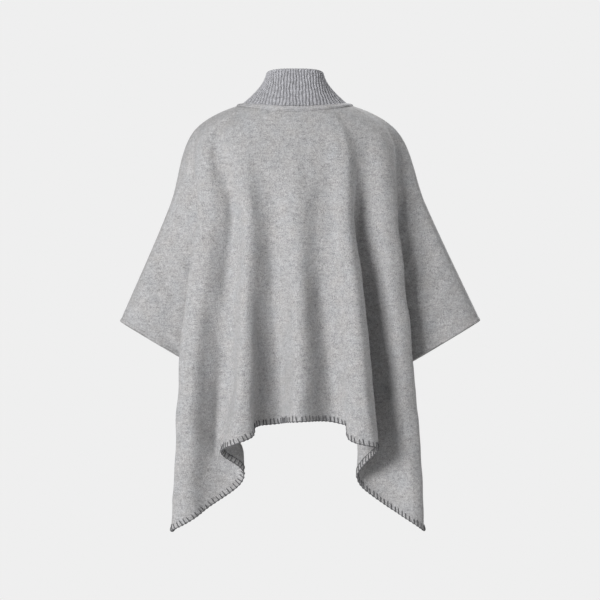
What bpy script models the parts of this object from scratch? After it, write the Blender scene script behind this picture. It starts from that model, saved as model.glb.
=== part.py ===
"""Poncho sweater of felted wool with a rib-knit funnel collar, in its worn shape with no wearer.

Units are metres and +Z is up.  The back of the garment faces -Y and its chest faces +Y.
The origin is the centre of the neck opening, level with the shoulders' ends of the neck seam.

The back and the front are one cloth each, cut in one with half of both sleeves.  A cloth is worked
out from lines that run down it from the neck seam: the overarm seam, the middle of the sleeve, the
underarm line that becomes the side seam, and one line for each ridge and hollow of its folds.
Tables hold these lines in millimetres.  x is the place across the garment, and d is how far the
cloth stands out from the plane of the side seams, to the back or to the front.
"""
import bpy
import numpy as np

MM = 0.001

# Cloth and gaps
CLOTH = 2.6 * MM
SEAM_GAP = 0.4 * MM

# Heights from the neck seam's ends
YOKE_Z = -42
CHEST_Z = -248
WAIST_Z = -458
SKIRT_SHARE = 0.75      # where the skirt column of the folds lies, from waist to hem
TURN_SHARES = (0.893, 0.935)   # where a line swings sideways by its x_turn, from yoke to hem
CUFF_SHARE = 0.655      # where the underarm lies, as a share of the way from yoke to hem
ELBOW_SHARE = 0.4       # where the elbow column of SLEEVES lies, from yoke to cuff

# Rows of faces: over the shoulder, from yoke to cuff, from cuff to hem
ROLL_ROWS = 4
SLEEVE_ROWS = 12
TAIL_ROWS = 8

# Neck seam
NECK_HALF_WIDTH = 109
NECK_BACK = 80
NECK_FRONT = 85
NECK_SIDE_Z = 4
NECK_BACK_DROP = 9
NECK_FRONT_DROP = 42
SHOULDER_FLATNESS = 0.5  # slope in which a shoulder leaves the neck, as a share of its whole fall

# How far a fold's turn is rounded: 0 leaves it tight, 1 makes it a full loop
FOLD_ROUNDING = 0.6

# Sleeve lines, from the overarm seam inwards, with the steps to the next line.  The last two go on
# below the cuff: the underarm line as the side seam, and the cloth's return from it.
SLEEVE_COLUMNS = ("steps", "x_yoke", "x_elbow", "x_cuff", "z_cuff", "d_yoke", "d_elbow", "d_cuff")
LEFT_SLEEVE = {
    "overarm": (4, -202, -261, -367, -451, 0, -2, -14),
    "sleeve": (2, -197, -232, -255, -517, 26, 32, 27),
    "gusset": (2, -193, -207, -165, -570, 33, 44, 14),
    "underarm": (2, -189, -184, -113, -600, 39, 56, 7),
    "return": (2, -185, -190, -140, -604, 46, 65, 33),
}
RIGHT_SLEEVE = {
    "overarm": (4, 203, 272, 388, -449, 10, 16, -2),
    "sleeve": (2, 195, 241, 275, -517, 22, 38, 24),
    "gusset": (2, 189, 214, 184, -571, 30, 42, 9.5),
    "underarm": (2, 184, 196, 132, -602, 38, 52, 7),
    "return": (2, 181, 203, 160, -606, 45, 64, 25),
}

# Where those two lines meet the hem: x, d and z
LEFT_CORNER = {"underarm": (-254, 0, -889), "return": (-257, 10, -889)}
RIGHT_CORNER = {"underarm": (268, 0, -885), "return": (270, 10, -885)}

# Fold lines from left to right, with the steps to the next line
FOLD_COLUMNS = ("steps", "x_yoke", "x_chest", "x_waist", "x_skirt", "x_hem",
                "d_yoke", "d_chest", "d_waist", "d_skirt", "d_hem", "z_hem", "x_turn")
BACK_FOLDS = {
    "left_billow": (2, -179, -202, -235, -252, -258, 54, 84, 77, 44, 28, -886, 0),
    "left_tail": (2, -160, -174, -202, -219, -222, 69, 101, 98, 63, 53, -866, 0),
    "left_slope": (2, -149, -148, -178, -182, -184, 69, 98, 88, 43, 39, -838, 0),
    "left_tuck": (3, -136, -129, -149, -156, -150, 79, 91, 79, 38, 48, -768, 47),
    "left_edge": (3, -120, -113, -127, -136, -153, 89, 104, 90, 77, 94, -718, 0),
    "left_ridge": (2, -97, -96, -102, -113, -117, 93, 126, 136, 141, 148, -697, 0),
    "left_front": (1, -82, -86, -86, -88, -84, 95, 125, 129, 132, 134, -682, 0),
    "left_back": (2, -74, -74, -75, -84, -85, 96, 117, 112, 99, 102, -667, 0),
    "left_hollow": (3, -50, -52, -43, -40, -38, 98, 108, 90, 67, 62, -661, 0),
    "middle_ridge": (3, 6, 9, 11, 6, 2, 100, 130, 141, 146, 150, -653, 0),
    "right_hollow": (3, 47, 48, 64, 83, 88, 98, 113, 105, 98, 97, -657, 0),
    "right_back": (2, 74, 80, 90, 101, 107, 97, 119, 118, 112, 112, -663, 0),
    "right_front": (1, 82, 92, 108, 110, 108, 95, 129, 139, 136, 134, -690, 0),
    "right_ridge": (2, 92, 107, 130, 148, 160, 93, 133, 148, 151, 146, -703, 0),
    "right_edge": (3, 101, 121, 146, 165, 170, 87, 119, 131, 129, 122, -709, 0),
    "right_tuck": (2, 113, 122, 128, 130, 129, 83, 88, 52, 36, 56, -777, 0),
    "right_slope": (2, 131, 141, 170, 198, 190, 77, 79, 54, 38, 40, -832, 0),
    "right_tail": (2, 155, 187, 212, 244, 248, 66, 98, 91, 64, 56, -869, 0),
    "right_billow": (2, 177, 212, 239, 264, 267, 50, 78, 73, 50, 44, -883, 0),
}
FRONT_FOLDS = {
    "left_billow": (2, -178, -200, -226, -246, -253, 52, 80, 68, 34, 22, -885, 0),
    "left_tail": (2, -161, -182, -208, -214, -216, 69, 98, 92, 59, 48, -846, 0),
    "left_tuck": (3, -147, -150, -150, -158, -126, 80, 98, 72, 58, 42, -774, 0),
    "left_edge": (2, -126, -132, -138, -148, -152, 88, 112, 108, 104, 102, -724, 0),
    "left_ridge": (3, -98, -100, -100, -94, -92, 94, 132, 150, 156, 158, -684, 0),
    "left_hollow": (3, -52, -50, -48, -46, -45, 98, 112, 106, 110, 112, -660, 0),
    "middle_ridge": (3, 0, 5, 10, 14, 15, 100, 136, 150, 159, 162, -652, 0),
    "right_hollow": (3, 45, 50, 60, 66, 68, 98, 112, 108, 110, 110, -656, 0),
    "right_ridge": (2, 90, 100, 112, 122, 125, 94, 132, 150, 158, 160, -684, 0),
    "right_edge": (3, 116, 132, 145, 155, 158, 86, 112, 108, 104, 102, -724, 0),
    "right_tuck": (2, 139, 150, 160, 166, 140, 79, 96, 72, 60, 44, -776, 0),
    "right_tail": (2, 155, 185, 215, 228, 232, 67, 98, 94, 61, 50, -846, 0),
    "right_billow": (2, 178, 208, 238, 260, 268, 52, 82, 74, 36, 24, -884, 0),
}

# Neck band
BAND_WIDTH = 11 * MM
BAND_INSET = 2.2 * MM

# Collar
RIBS = 68
RIB_STRETCH = 0.28       # how much further apart the ribs lie at the shoulders than at mid back
RIB_RELIEF = 1.4 * MM
COLLAR_WALL = 5 * MM
COLLAR_LIFT = 2.5 * MM
COLLAR_TOP_HALF_WIDTH = 58.5
COLLAR_TOP_HALF_DEPTH = 58
COLLAR_TOP_POWER = 3     # 2 makes its top an ellipse, more makes the corners fuller
COLLAR_LEAN = 8
COLLAR_TOP_Z = 66
COLLAR_TOP_TILT = 8
COLLAR_FLARE = 1.5
COLLAR_ROWS = 6
COLLAR_ROLL_STEPS = 3

# Colour, roughness and metallic value of each cloth
FELT = (0.42, 0.42, 0.43)
RIB_KNIT = (0.36, 0.36, 0.38)
WOOL_ROUGHNESS = 0.95


def clear_scene():
    """Remove every object of the open scene."""
    for thing in list(bpy.data.objects):
        bpy.data.objects.remove(thing, do_unlink=True)


def table(columns, lines):
    """Columns of a table of lines, as arrays by name."""
    return dict(zip(columns, np.array(list(lines.values()), dtype=float).T))


def curve_through(knots, points, at, ends=None, rounding=0.0):
    """Cubic curve through points at rising knots, read at other knots.

    A slope is the mean of the chords before and after its point, weighted to the nearer one.
    Rounding lengthens the short slopes that a sharp turn gives.
    """
    gap = np.diff(knots)[:, None]
    chord = np.diff(points, axis=0) / gap
    slope = np.empty_like(points)
    slope[1:-1] = (gap[1:] * chord[:-1] + gap[:-1] * chord[1:]) / (gap[1:] + gap[:-1])
    slope[0], slope[-1] = (chord[0], chord[-1]) if ends is None else ends
    if rounding:
        slope /= np.linalg.norm(slope, axis=1, keepdims=True) ** rounding
    piece = np.clip(np.searchsorted(knots, at, side="right") - 1, 0, len(gap) - 1)
    span = gap[piece]
    t = (at - knots[piece])[:, None] / span
    return (points[piece] * (1 + 2 * t) * (1 - t) ** 2 + slope[piece] * span * t * (1 - t) ** 2
            + points[piece + 1] * t * t * (3 - 2 * t) - slope[piece + 1] * span * t * t * (1 - t))


def neck_seam(angle):
    """Points of the neck seam: an ellipse whose back half and front half differ in depth and dip.

    The angle runs from 0 at the left shoulder over the back to pi at the right one.
    """
    across, away = np.cos(angle), np.sin(angle)
    depth = np.where(away > 0, NECK_BACK, NECK_FRONT)
    drop = np.where(away > 0, NECK_BACK_DROP, NECK_FRONT_DROP)
    return np.stack([-NECK_HALF_WIDTH * across, -depth * away, NECK_SIDE_Z - drop * away ** 2], axis=-1)


def line_rows(levels, share):
    """Rows of one line that passes through the points of its levels, the first two being the neck
    seam and the yoke.  It leaves the neck flatter than its first chord, least so at the middle of
    the back and of the front.  Share gives the rows below the yoke, as shares of the fall from there.
    """
    chord = np.linalg.norm(np.diff(levels, axis=0), axis=1)
    knots = np.concatenate([[0], np.cumsum(chord)])
    leave = (levels[1] - levels[0]) / chord[0]
    middle = abs(levels[0, 1]) / max(NECK_BACK, NECK_FRONT)
    leave[2] *= SHOULDER_FLATNESS + (1 - SHOULDER_FLATNESS) * middle
    finish = (levels[-1] - levels[-2]) / chord[-1]
    fall = (levels[1, 2] - levels[1:, 2]) / (levels[1, 2] - levels[-1, 2])
    at = np.concatenate([np.linspace(0, knots[1], ROLL_ROWS + 1)[:-1],
                         np.interp(share, fall, knots[1:])])
    return curve_through(knots, levels, at, (leave, finish))


def sleeve_lines(sleeve, corner, facing, neck):
    """Rows of the sleeve lines; all but the last two end at the cuff, and those run on to the hem."""
    lines = table(SLEEVE_COLUMNS, sleeve)
    share = np.linspace(0, 1, SLEEVE_ROWS + 1)
    rows = []
    for number, (name, start) in enumerate(zip(sleeve, neck)):
        # The overarm seam bears to the front, whichever cloth asks for it.
        side = -1 if name == "overarm" else facing
        z_cuff = lines["z_cuff"][number]
        z_elbow = YOKE_Z + (z_cuff - YOKE_Z) * ELBOW_SHARE
        levels = [start] + [(lines["x_" + level][number], side * lines["d_" + level][number], z)
                            for level, z in (("yoke", YOKE_Z), ("elbow", z_elbow), ("cuff", z_cuff))]
        upper = line_rows(np.array(levels), share)
        below = upper[-1] if name != "underarm" else upper[-1] * (1, 0, 1)
        x_hem, d_hem, z_hem = corner.get(name, (0, 0, 0))
        lower = np.linspace(below, (x_hem, facing * d_hem, z_hem), TAIL_ROWS + 1)[1:]
        rows.append(np.vstack([upper, lower]))
    return rows


def fold_lines(folds, facing, neck):
    """Rows of every fold line, from the neck seam to the hem.  Just above the hem a line may turn
    sideways, by its x_turn times a smooth step of 3 t squared less 2 t cubed.
    """
    lines = table(FOLD_COLUMNS, folds)
    share = np.concatenate([np.linspace(0, CUFF_SHARE, SLEEVE_ROWS + 1),
                            np.linspace(CUFF_SHARE, 1, TAIL_ROWS + 1)[1:]])
    t = np.clip((share - TURN_SHARES[0]) / (TURN_SHARES[1] - TURN_SHARES[0]), 0, 1)
    turned = t * t * (3 - 2 * t)
    rows = []
    for start, z_hem, number in zip(neck, lines["z_hem"], range(len(neck))):
        z_skirt = WAIST_Z + SKIRT_SHARE * (z_hem - WAIST_Z)
        heights = (("yoke", YOKE_Z), ("chest", CHEST_Z), ("waist", WAIST_Z), ("skirt", z_skirt),
                   ("hem", z_hem))
        levels = [start] + [(lines["x_" + level][number], facing * lines["d_" + level][number], z)
                            for level, z in heights]
        line = line_rows(np.array(levels), share)
        line[ROLL_ROWS:, 0] += lines["x_turn"][number] * turned
        rows.append(line)
    return rows


def neck_starts(folds, facing):
    """Where the lines of one cloth leave the neck seam: spaced round it as they are at the yoke."""
    left, right = table(SLEEVE_COLUMNS, LEFT_SLEEVE), table(SLEEVE_COLUMNS, RIGHT_SLEEVE)
    middle = table(FOLD_COLUMNS, folds)
    yoke = np.stack([np.concatenate([left[name], middle[name], right[name][::-1]])
                     for name in ("x_yoke", "d_yoke")], axis=1)
    chord = np.linalg.norm(np.diff(yoke, axis=0), axis=1)
    turn = np.concatenate([[0], np.cumsum(chord)]) / chord.sum()
    return neck_seam(-facing * np.pi * turn)


def cloth_points(folds, facing):
    """Grid of points of one cloth in metres, and which of them belong to it.

    Rows run from the neck seam to the hem and columns from the left overarm seam to the right one.
    Below the cuffs only the columns between the two underarm lines go on.
    """
    neck = neck_starts(folds, facing)
    left = sleeve_lines(LEFT_SLEEVE, LEFT_CORNER, facing, neck[:len(LEFT_SLEEVE)])
    right = sleeve_lines(RIGHT_SLEEVE, RIGHT_CORNER, facing, neck[:-len(RIGHT_SLEEVE) - 1:-1])
    middle = fold_lines(folds, facing, neck[len(LEFT_SLEEVE):-len(RIGHT_SLEEVE)])
    keys = np.stack(left + middle + right[::-1], axis=1)
    steps = np.concatenate([table(SLEEVE_COLUMNS, LEFT_SLEEVE)["steps"],
                            table(FOLD_COLUMNS, folds)["steps"],
                            table(SLEEVE_COLUMNS, RIGHT_SLEEVE)["steps"][-2::-1]]).astype(int)
    place = np.concatenate([[0], np.cumsum(steps)])
    ending = len(LEFT_SLEEVE) - len(LEFT_CORNER)
    cuff_row = ROLL_ROWS + SLEEVE_ROWS

    points = np.zeros((len(keys), place[-1] + 1, 3))
    inside = np.zeros(points.shape[:2], dtype=bool)
    leave = np.array([0, facing, 0.0])
    for row, key in enumerate(keys):
        kept = slice(0, None) if row <= cuff_row else slice(ending, -ending)
        at_key, column_of_key = key[kept], place[kept]
        chord = np.linalg.norm(np.diff(at_key, axis=0), axis=1)
        knots = np.concatenate([[0], np.cumsum(chord)])
        column = np.arange(column_of_key[0], column_of_key[-1] + 1)
        at = np.interp(column, column_of_key, knots)
        points[row, column] = curve_through(knots, at_key, at, (leave, -leave), FOLD_ROUNDING)
        inside[row, column] = True
    points[seam_points(inside), 1] += facing * SEAM_GAP / MM / 2
    return points * MM, inside


def seam_points(inside):
    """Which grid points lie on the overarm seams and on the side seams below the cuffs."""
    cuff_row = ROLL_ROWS + SLEEVE_ROWS
    seam = np.zeros(inside.shape, dtype=bool)
    seam[:cuff_row + 1, [0, -1]] = True
    seam[cuff_row + 1:, np.flatnonzero(inside[-1])[[0, -1]]] = True
    return seam


def grid_faces(inside):
    """Quads between neighbouring grid points whose four corners all belong to the cloth."""
    number = np.arange(inside.size).reshape(inside.shape)
    corners = np.stack([number[:-1, :-1], number[1:, :-1], number[1:, 1:], number[:-1, 1:]], axis=-1)
    return corners[inside.ravel()[corners].all(axis=-1)]


def point_normals(points, faces):
    """Mean of the face normals round each point, weighted by area."""
    corner = points[faces]
    across = np.cross(corner[:, 2] - corner[:, 0], corner[:, 3] - corner[:, 1])
    normals = np.zeros_like(points)
    for side in range(4):
        np.add.at(normals, faces[:, side], across)
    length = np.linalg.norm(normals, axis=1, keepdims=True)
    return normals / np.where(length > 0, length, 1)


def open_edges(faces):
    """Directed edges that only one face uses, which make the rim of a sheet."""
    start, end = faces.ravel(), np.roll(faces, -1, axis=1).ravel()
    size = faces.max() + 1
    lone = ~np.isin(start * size + end, end * size + start)
    return np.column_stack([start[lone], end[lone]])


def make_object(name, points, faces, colour):
    """Mesh object of the given name, faces turned outwards, with its own wool material."""
    used, renumbered = np.unique(faces, return_inverse=True)
    mesh = bpy.data.meshes.new(name)
    mesh.from_pydata(points[used].tolist(), [], renumbered.reshape(faces.shape).tolist())
    mesh.shade_smooth()
    material = bpy.data.materials.new(name)
    material.use_nodes = True
    shader = material.node_tree.nodes["Principled BSDF"]
    shader.inputs["Base Color"].default_value = (*colour, 1)
    shader.inputs["Roughness"].default_value = WOOL_ROUGHNESS
    shader.inputs["Metallic"].default_value = 0
    mesh.materials.append(material)
    thing = bpy.data.objects.new(name, mesh)
    bpy.context.scene.collection.objects.link(thing)
    return thing


def cloth_normals(points, inside, facing):
    """Unit normals of a cloth's grid, pointing out of the garment.

    Along the seams that the two cloths share they lie straight across the garment, so that both
    walls end face to face all the way through.
    """
    faces = grid_faces(inside)
    normals = -facing * point_normals(points.reshape(-1, 3), faces).reshape(points.shape)
    seam = seam_points(inside)
    normals[seam, 1] = 0
    normals[seam] /= np.linalg.norm(normals[seam], axis=-1, keepdims=True)
    return normals


def build_cloth(name, folds, facing):
    """Closed wall of one cloth; returns its grid of points and normals for what lies on it."""
    points, inside = cloth_points(folds, facing)
    normals = cloth_normals(points, inside, facing)
    faces = grid_faces(inside)
    faces = faces if facing < 0 else faces[:, ::-1]
    rim = open_edges(faces)
    shell = np.concatenate([faces, faces[:, ::-1] + inside.size,
                            np.column_stack([rim[:, ::-1], rim + inside.size])])
    both = np.concatenate([points + normals * CLOTH / 2, points - normals * CLOTH / 2])
    make_object(name, both.reshape(-1, 3), shell, FELT)
    return points, normals


def ring_faces(profile, turn):
    """Quads of a closed tube: a closed profile of so many points carried once round a turn."""
    number = np.arange(profile * turn).reshape(profile, turn)
    across, along = np.roll(number, -1, axis=0), np.roll(number, -1, axis=1)
    return np.stack([number, along, np.roll(across, -1, axis=1), across], axis=-1).reshape(-1, 4)


def build_neck_band(back, front):
    """Strip laid over the neck edge of both cloths.

    Its section is a rectangle that starts a little way out from the neck seam along the first row
    of each cloth, moved out by the cloth's own wall and a gap.
    """
    (back_points, back_normals), (front_points, front_normals) = back, front
    edge = np.concatenate([back_points[0], front_points[0, -2:0:-1]])
    below = np.concatenate([back_points[1], front_points[1, -2:0:-1]])
    normals = np.concatenate([back_normals[0], front_normals[0, -2:0:-1]])
    out = (below - edge) / np.linalg.norm(below - edge, axis=1, keepdims=True)
    low = CLOTH / 2 + SEAM_GAP
    section = ((BAND_INSET, low), (BAND_INSET + BAND_WIDTH, low),
               (BAND_INSET + BAND_WIDTH, low + CLOTH), (BAND_INSET, low + CLOTH))
    points = np.stack([edge + out * along + normals * up for along, up in section])
    make_object("neck_band", points.reshape(-1, 3), ring_faces(len(section), len(edge)), FELT)


def collar_top(share):
    """Top of the collar at shares of the way round: an oval of a higher power than an ellipse,
    walked at an even pace and raised towards the back.
    """
    angle = np.linspace(0, 2 * np.pi, 1441)
    across, away = (np.sign(turn) * np.abs(turn) ** (2 / COLLAR_TOP_POWER)
                    for turn in (np.cos(angle), np.sin(angle)))
    oval = np.stack([-COLLAR_TOP_HALF_WIDTH * across, COLLAR_LEAN - COLLAR_TOP_HALF_DEPTH * away,
                     COLLAR_TOP_Z + COLLAR_TOP_TILT * away], axis=-1)
    pace = np.linalg.norm(np.diff(oval[:, :2], axis=0), axis=1)
    walked = np.concatenate([[0], np.cumsum(pace)]) / pace.sum()
    return np.stack([np.interp(share, walked, oval[:, axis]) for axis in range(3)], axis=-1)


def collar_base(share):
    """Foot of the collar on the neck seam, at shares of the way round.

    In each half the angle from its middle grows with the share and with its fourth power, so the
    ribs lie closer together at the middle of the back than at the shoulders.
    """
    half = np.floor(2 * share)
    reach = 4 * share - 2 * half - 1
    turn = reach * (1 - RIB_STRETCH + RIB_STRETCH * np.abs(reach) ** 3)
    return neck_seam(np.pi * (half + 0.5 + turn / 2))


def collar_middle(share, height):
    """Middle of the collar's wall: it narrows from the neck seam to the top as a power of the height."""
    base, top = collar_base(share), collar_top(share)
    flare = (1 - height) ** COLLAR_FLARE
    weight = np.stack([1 - flare, 1 - flare, height], axis=-1)
    return (base + (top - base) * weight) * MM


def build_collar():
    """Rib-knit tube folded double: ribs raised on its outer face over a plain inside, rolled top.

    The inside takes every second row of the outside.
    """
    share, height = np.meshgrid(np.arange(2 * RIBS) / (2 * RIBS), np.linspace(0, 1, COLLAR_ROWS + 1))
    middle = collar_middle(share, height)
    up = np.gradient(middle, axis=0)
    up /= np.linalg.norm(up, axis=-1, keepdims=True)
    turned = np.roll(middle, -1, axis=1) - np.roll(middle, 1, axis=1)
    out = np.cross(turned, up)
    out /= np.linalg.norm(out, axis=-1, keepdims=True)
    middle[0] += up[0] * COLLAR_LIFT
    rib = RIB_RELIEF / 2 * np.cos(2 * np.pi * RIBS * share)[..., None]
    outer = middle + out * (COLLAR_WALL / 2 + rib)
    inner = middle - out * COLLAR_WALL / 2
    bend = np.linspace(0, np.pi, COLLAR_ROLL_STEPS + 2)[1:-1, None, None]
    fade = np.cos(bend) + 1
    roll = (middle[-1] + up[-1] * np.sin(bend) * COLLAR_WALL / 2
            + out[-1] * (np.cos(bend) * COLLAR_WALL / 2 + rib[-1] * fade / 2))
    points = np.concatenate([outer, roll, inner[::-2]])
    make_object("collar", points.reshape(-1, 3), ring_faces(len(points), 2 * RIBS), RIB_KNIT)


def main():
    clear_scene()
    back = build_cloth("back", BACK_FOLDS, -1)
    front = build_cloth("front", FRONT_FOLDS, 1)
    build_neck_band(back, front)
    build_collar()


main()
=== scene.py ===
"""Poncho sweater of grey felted wool with a rib-knit funnel collar.

Lengths are metres unless a name or a table says millimetres.  The back of the garment faces -Y.
Each cloth is worked out from the lines that run down it, as its solid is, on a grid a few times as
fine, with rounded edges, a turned hem at the cuffs, soft creases and small unevenness.  The collar
is a knitted tube with deep ribs.  Blanket stitches go round the hem, topstitches round the cuffs
and the neck.
"""

import bpy
import numpy as np
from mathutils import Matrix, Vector


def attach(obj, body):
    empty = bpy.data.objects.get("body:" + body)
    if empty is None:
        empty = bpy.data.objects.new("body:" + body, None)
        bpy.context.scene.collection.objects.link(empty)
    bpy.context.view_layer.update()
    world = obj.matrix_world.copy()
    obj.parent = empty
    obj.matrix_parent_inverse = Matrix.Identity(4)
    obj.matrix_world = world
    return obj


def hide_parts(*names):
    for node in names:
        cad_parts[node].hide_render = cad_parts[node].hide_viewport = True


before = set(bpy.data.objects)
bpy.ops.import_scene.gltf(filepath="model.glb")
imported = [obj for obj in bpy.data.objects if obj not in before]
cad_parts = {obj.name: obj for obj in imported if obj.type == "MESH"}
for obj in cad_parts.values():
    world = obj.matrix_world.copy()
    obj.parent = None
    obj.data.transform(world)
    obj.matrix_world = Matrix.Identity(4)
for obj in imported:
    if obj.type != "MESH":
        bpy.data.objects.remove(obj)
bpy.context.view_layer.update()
scene = bpy.context.scene

MM = 0.001

# Cloth and gaps
CLOTH = 2.6 * MM
SEAM_GAP = 0.4 * MM
EDGE_STEPS = 4

# Levels that the lines pass: heights in millimetres, and shares of the way down
YOKE_Z = -42
CHEST_Z = -248
WAIST_Z = -458
SKIRT_SHARE = 0.75      # from the waist to the hem
ELBOW_SHARE = 0.4       # from the yoke to the cuff
CUFF_SHARE = 0.655      # from the yoke to the hem
TURN_SHARES = (0.893, 0.935)

# Grid: steps of a table are multiplied by FINE, and rows stand closer at the cuffs' turned hems
FINE = 5
ROLL_ROWS = 20
SLEEVE_SHARES = np.concatenate([
    np.linspace(0, 0.955, 54),
    1 - np.array([0.037, 0.031, 0.027, 0.024, 0.0215, 0.0185, 0.015, 0.0115, 0.008, 0.0045, 0])])
TAIL_ROWS = 40
CUFF_ROW = ROLL_ROWS + len(SLEEVE_SHARES) - 1
EVENING_ROUNDS = 6

# Neck seam, in millimetres
NECK_HALF_WIDTH = 109
NECK_BACK, NECK_FRONT = 80, 85
NECK_BACK_DROP, NECK_FRONT_DROP = 9, 42
NECK_SIDE_Z = 4
SHOULDER_FLATNESS = 0.5
FOLD_ROUNDING = 0.6

# Sleeve lines, from the overarm seam inwards, with the steps to the next line, in millimetres
SLEEVE_COLUMNS = ("steps", "x_yoke", "x_elbow", "x_cuff", "z_cuff", "d_yoke", "d_elbow", "d_cuff")
LEFT_SLEEVE = {
    "overarm": (4, -202, -261, -367, -451, 0, -2, -14),
    "sleeve": (2, -197, -232, -255, -517, 26, 32, 27),
    "gusset": (2, -193, -207, -165, -570, 33, 44, 14),
    "underarm": (2, -189, -184, -113, -600, 39, 56, 7),
    "return": (2, -185, -190, -140, -604, 46, 65, 33),
}
RIGHT_SLEEVE = {
    "overarm": (4, 203, 272, 388, -449, 10, 16, -2),
    "sleeve": (2, 195, 241, 275, -517, 22, 38, 24),
    "gusset": (2, 189, 214, 184, -571, 30, 42, 9.5),
    "underarm": (2, 184, 196, 132, -602, 38, 52, 7),
    "return": (2, 181, 203, 160, -606, 45, 64, 25),
}
LEFT_CORNER = {"underarm": (-254, 0, -889), "return": (-257, 10, -889)}
RIGHT_CORNER = {"underarm": (268, 0, -885), "return": (270, 10, -885)}

# Fold lines from left to right, with the steps to the next line, in millimetres
FOLD_COLUMNS = ("steps", "x_yoke", "x_chest", "x_waist", "x_skirt", "x_hem",
                "d_yoke", "d_chest", "d_waist", "d_skirt", "d_hem", "z_hem", "x_turn")
BACK_FOLDS = {
    "left_billow": (2, -179, -202, -235, -252, -258, 54, 84, 77, 44, 28, -886, 0),
    "left_tail": (2, -160, -174, -202, -219, -222, 69, 101, 98, 63, 53, -866, 0),
    "left_slope": (2, -149, -148, -178, -182, -184, 69, 98, 88, 43, 39, -838, 0),
    "left_tuck": (3, -136, -129, -149, -156, -150, 79, 91, 79, 38, 48, -768, 47),
    "left_edge": (3, -120, -113, -127, -136, -153, 89, 104, 90, 77, 94, -718, 0),
    "left_ridge": (2, -97, -96, -102, -113, -117, 93, 126, 136, 141, 148, -697, 0),
    "left_front": (1, -82, -86, -86, -88, -84, 95, 125, 129, 132, 134, -682, 0),
    "left_back": (2, -74, -74, -75, -84, -85, 96, 117, 112, 99, 102, -667, 0),
    "left_hollow": (3, -50, -52, -43, -40, -38, 98, 108, 90, 67, 62, -661, 0),
    "middle_ridge": (3, 6, 9, 11, 6, 2, 100, 130, 141, 146, 150, -653, 0),
    "right_hollow": (3, 47, 48, 64, 83, 88, 98, 113, 105, 98, 97, -657, 0),
    "right_back": (2, 74, 80, 90, 101, 107, 97, 119, 118, 112, 112, -663, 0),
    "right_front": (1, 82, 92, 108, 110, 108, 95, 129, 139, 136, 134, -690, 0),
    "right_ridge": (2, 92, 107, 130, 148, 160, 93, 133, 148, 151, 146, -703, 0),
    "right_edge": (3, 101, 121, 146, 165, 170, 87, 119, 131, 129, 122, -709, 0),
    "right_tuck": (2, 113, 122, 128, 130, 129, 83, 88, 52, 36, 56, -777, 0),
    "right_slope": (2, 131, 141, 170, 198, 190, 77, 79, 54, 38, 40, -832, 0),
    "right_tail": (2, 155, 187, 212, 244, 248, 66, 98, 91, 64, 56, -869, 0),
    "right_billow": (2, 177, 212, 239, 264, 267, 50, 78, 73, 50, 44, -883, 0),
}
FRONT_FOLDS = {
    "left_billow": (2, -178, -200, -226, -246, -253, 52, 80, 68, 34, 22, -885, 0),
    "left_tail": (2, -161, -182, -208, -214, -216, 69, 98, 92, 59, 48, -846, 0),
    "left_tuck": (3, -147, -150, -150, -158, -126, 80, 98, 72, 58, 42, -774, 0),
    "left_edge": (2, -126, -132, -138, -148, -152, 88, 112, 108, 104, 102, -724, 0),
    "left_ridge": (3, -98, -100, -100, -94, -92, 94, 132, 150, 156, 158, -684, 0),
    "left_hollow": (3, -52, -50, -48, -46, -45, 98, 112, 106, 110, 112, -660, 0),
    "middle_ridge": (3, 0, 5, 10, 14, 15, 100, 136, 150, 159, 162, -652, 0),
    "right_hollow": (3, 45, 50, 60, 66, 68, 98, 112, 108, 110, 110, -656, 0),
    "right_ridge": (2, 90, 100, 112, 122, 125, 94, 132, 150, 158, 160, -684, 0),
    "right_edge": (3, 116, 132, 145, 155, 158, 86, 112, 108, 104, 102, -724, 0),
    "right_tuck": (2, 139, 150, 160, 166, 140, 79, 96, 72, 60, 44, -776, 0),
    "right_tail": (2, 155, 185, 215, 228, 232, 67, 98, 94, 61, 50, -846, 0),
    "right_billow": (2, 178, 208, 238, 260, 268, 52, 82, 74, 36, 24, -884, 0),
}

# Unevenness of the cloth: waves by length across and down it, phase and height, in millimetres,
# and how far from the neck and the seams they reach their height
WAVES = ((210, 260, 0.4, 1.0), (-150, 190, 2.1, 0.8), (74, 520, 1.1, 0.6), (330, 118, 4.0, 0.5),
         (58, -97, 5.2, 0.3))
NECK_CALM = 120 * MM
SEAM_CALM = 45 * MM

# Soft creases seen square from the back or the chest: x and z of the top, x and z of the bottom,
# width and depth, in millimetres
BACK_CREASES = {
    "neck_to_hollow": (15, -62, 22, -190, 11, 1.4),
    "neck_to_ridge": (66, -58, 60, -120, 9, 0.9),
    "left_shoulder": (-153, -92, -146, -190, 10, 1.5),
    "left_shoulder_edge": (-186, -108, -196, -190, 8, 0.7),
    "left_sleeve": (-222, -190, -300, -400, 22, 1.2),
    "left_underarm": (-214, -300, -268, -480, 14, 1.0),
    "right_shoulder": (150, -80, 172, -190, 11, 1.1),
    "right_sleeve": (238, -190, 318, -398, 20, 1.3),
    "right_underarm": (226, -310, 270, -470, 13, 0.9),
    "left_tail": (-236, -560, -226, -740, 12, 0.8),
    "right_tail": (236, -600, 250, -770, 12, 0.8),
}
FRONT_CREASES = {
    "neck_to_hollow": (-24, -84, -40, -210, 12, 1.4),
    "neck_to_ridge": (52, -78, 66, -170, 10, 1.0),
    "left_shoulder": (-146, -84, -160, -200, 11, 1.3),
    "left_sleeve": (-228, -200, -296, -392, 20, 1.3),
    "left_underarm": (-212, -310, -262, -474, 14, 0.9),
    "right_shoulder": (152, -90, 164, -186, 10, 1.4),
    "right_sleeve": (244, -200, 322, -404, 22, 1.2),
    "right_underarm": (222, -300, 274, -482, 14, 1.0),
    "left_tail": (-232, -580, -240, -750, 12, 0.8),
    "right_tail": (240, -570, 246, -760, 12, 0.8),
}
CREASE_SIDES = {-1: BACK_CREASES, 1: FRONT_CREASES}
CREASE_FADE = 0.2       # share of a crease's length

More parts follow.
